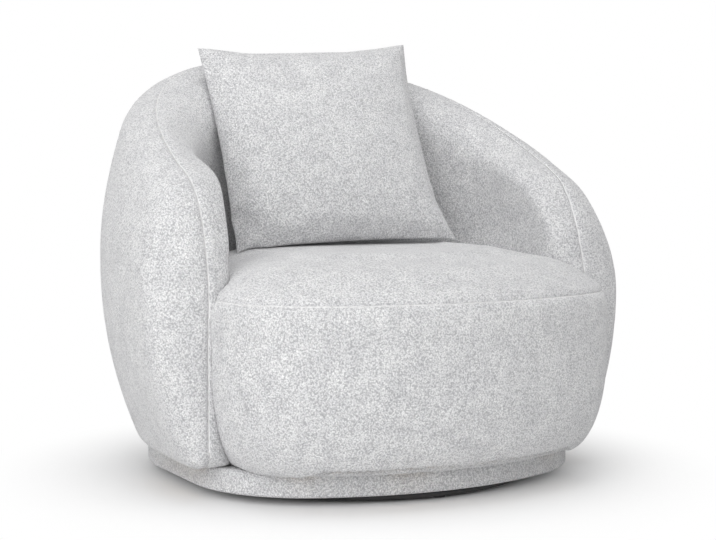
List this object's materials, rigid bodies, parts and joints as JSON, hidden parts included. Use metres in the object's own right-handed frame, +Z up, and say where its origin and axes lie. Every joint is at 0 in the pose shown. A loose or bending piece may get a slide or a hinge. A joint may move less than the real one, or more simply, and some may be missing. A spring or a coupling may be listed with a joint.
{
  "type": "swivel tub chair",
  "caption": "Low round tub armchair with wrapped arms and back, thick seat block, swivel base under a padded plinth, and a loose square scatter cushion.",
  "frame": {"origin": "on the floor on the swivel axis, which is the middle of the footprint", "axes": "+Z up, the front of the seat faces -Y, +X to the right seen from the front"},
  "size_m": [0.9392, 0.8568, 0.8145],
  "materials": {
    "boucle": "looped boucle upholstery fabric, pale grey",
    "black_steel": "satin black powder coat",
    "bearing_steel": "pressed steel, lightly oiled",
    "zinc_steel": "zinc plated",
    "brass_cage": "plain stamped brass",
    "black_nylon": "moulded nylon",
    "plywood": "birch plywood, unfinished",
    "pine": "sawn softwood",
    "hardboard": "pressed hardboard",
    "foam": "polyurethane upholstery foam",
    "webbing": "woven elastic webbing",
    "felt": "needled felt",
    "cambric": "black non-woven lining",
    "filling": "polyester fibre filling",
    "zip_tape": "woven zip tape with nylon coil"
  },
  "bodies": {
    "base": {"base_ring": "black_steel", "base_cross": "black_steel", "floor_glides": "black_nylon", "glide_screws": "zinc_steel", "lower_bearing_plate": "bearing_steel", "lower_plate_bolts": "zinc_steel", "centre_pin": "zinc_steel", "pin_washer": "zinc_steel", "lock_nut": "zinc_steel"},
    "ball_race": {"bearing_balls": "bearing_steel", "ball_cage": "brass_cage"},
    "chair": {"upper_bearing_plate": "bearing_steel", "upper_plate_bolts": "zinc_steel", "tee_nuts": "zinc_steel", "swivel_block": "plywood", "plinth_board": "plywood", "plinth_frame": "plywood", "plinth_padding": "foam", "plinth_cover": "boucle", "dust_cover": "cambric", "body_board": "plywood", "arm_posts": "pine", "back_uprights": "pine", "back_top_rail": "plywood", "outer_panel_board": "hardboard", "back_straps": "webbing", "shell_foam": "foam", "outer_shell_cover": "boucle", "inner_shell_cover": "boucle", "seat_front_rail": "plywood", "seat_side_rails": "plywood", "seat_rear_rail": "plywood", "corner_blocks": "pine", "seat_straps_lengthwise": "webbing", "seat_straps_crosswise": "webbing", "seat_felt": "felt", "seat_foam": "foam", "seat_top_cover": "boucle", "seat_band_cover": "boucle"},
    "scatter_cushion": {"cushion_cover": "boucle", "cushion_filling": "filling", "cushion_zip": "zip_tape"}
  },
  "joints": [
    {"name": "swivel", "type": "hinge", "parent": "base", "child": "chair", "pos_m": [0, 0, 0.02], "axis": [0, 0, 1], "continuous": true},
    {"name": "ball_race_turn", "type": "hinge", "parent": "base", "child": "ball_race", "pos_m": [0, 0, 0.02], "axis": [0, 0, 1], "continuous": true},
    {"name": "cushion_lift", "type": "slide", "parent": "chair", "child": "scatter_cushion", "axis": [0, 0, 1], "range_m": [0, 0.5]}
  ],
  "couplings": [
    {"joint": "ball_race_turn", "follows": "swivel", "ratio": 0.5}
  ]
}
